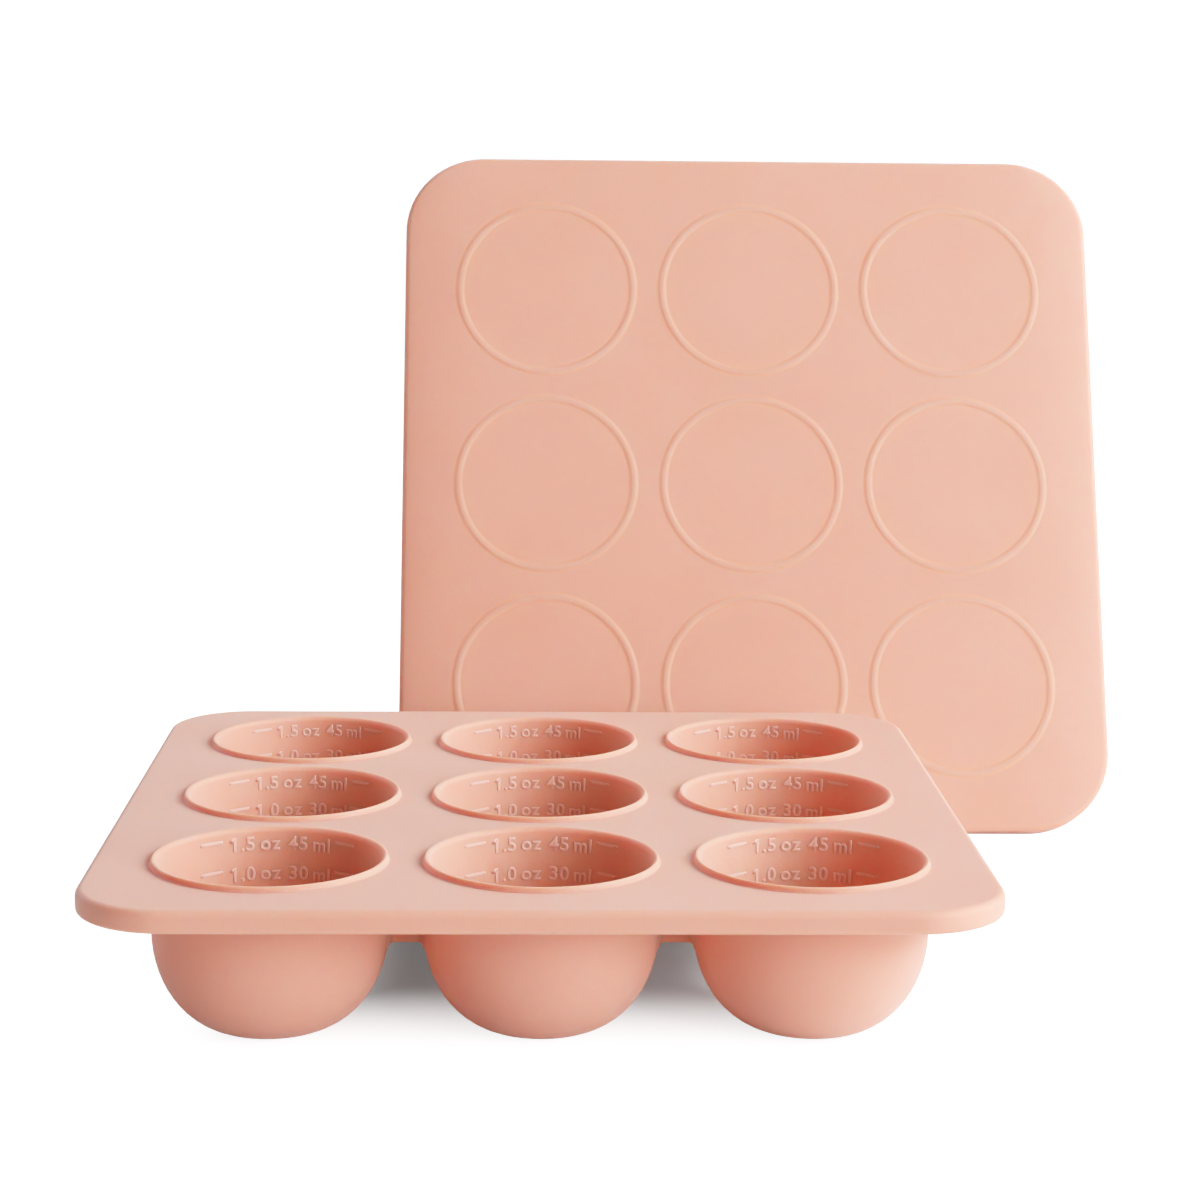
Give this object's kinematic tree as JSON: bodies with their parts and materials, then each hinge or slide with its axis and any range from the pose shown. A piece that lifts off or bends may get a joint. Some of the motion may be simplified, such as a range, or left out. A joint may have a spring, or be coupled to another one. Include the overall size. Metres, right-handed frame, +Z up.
{
  "type": "freezer tray",
  "caption": "Silicone baby food freezer tray with round cups hanging from a rimmed square deck, and a separate ringed lid standing upright behind it.",
  "frame": {"origin": "under the middle cup, on the surface that the tray stands on", "axes": "+Z up out of the cups' mouths, -Y towards the front of the tray, +X to the right"},
  "size_m": [0.2465, 0.2679, 0.1776],
  "materials": {
    "silicone": "matt blush pink silicone"
  },
  "bodies": {
    "tray": {"tray": "silicone"},
    "lid": {"lid": "silicone"}
  },
  "joints": [
    {"name": "lid_lift", "type": "slide", "parent": "tray", "child": "lid", "axis": [0, 0, 1], "range_m": [0, 0.12]}
  ]
}
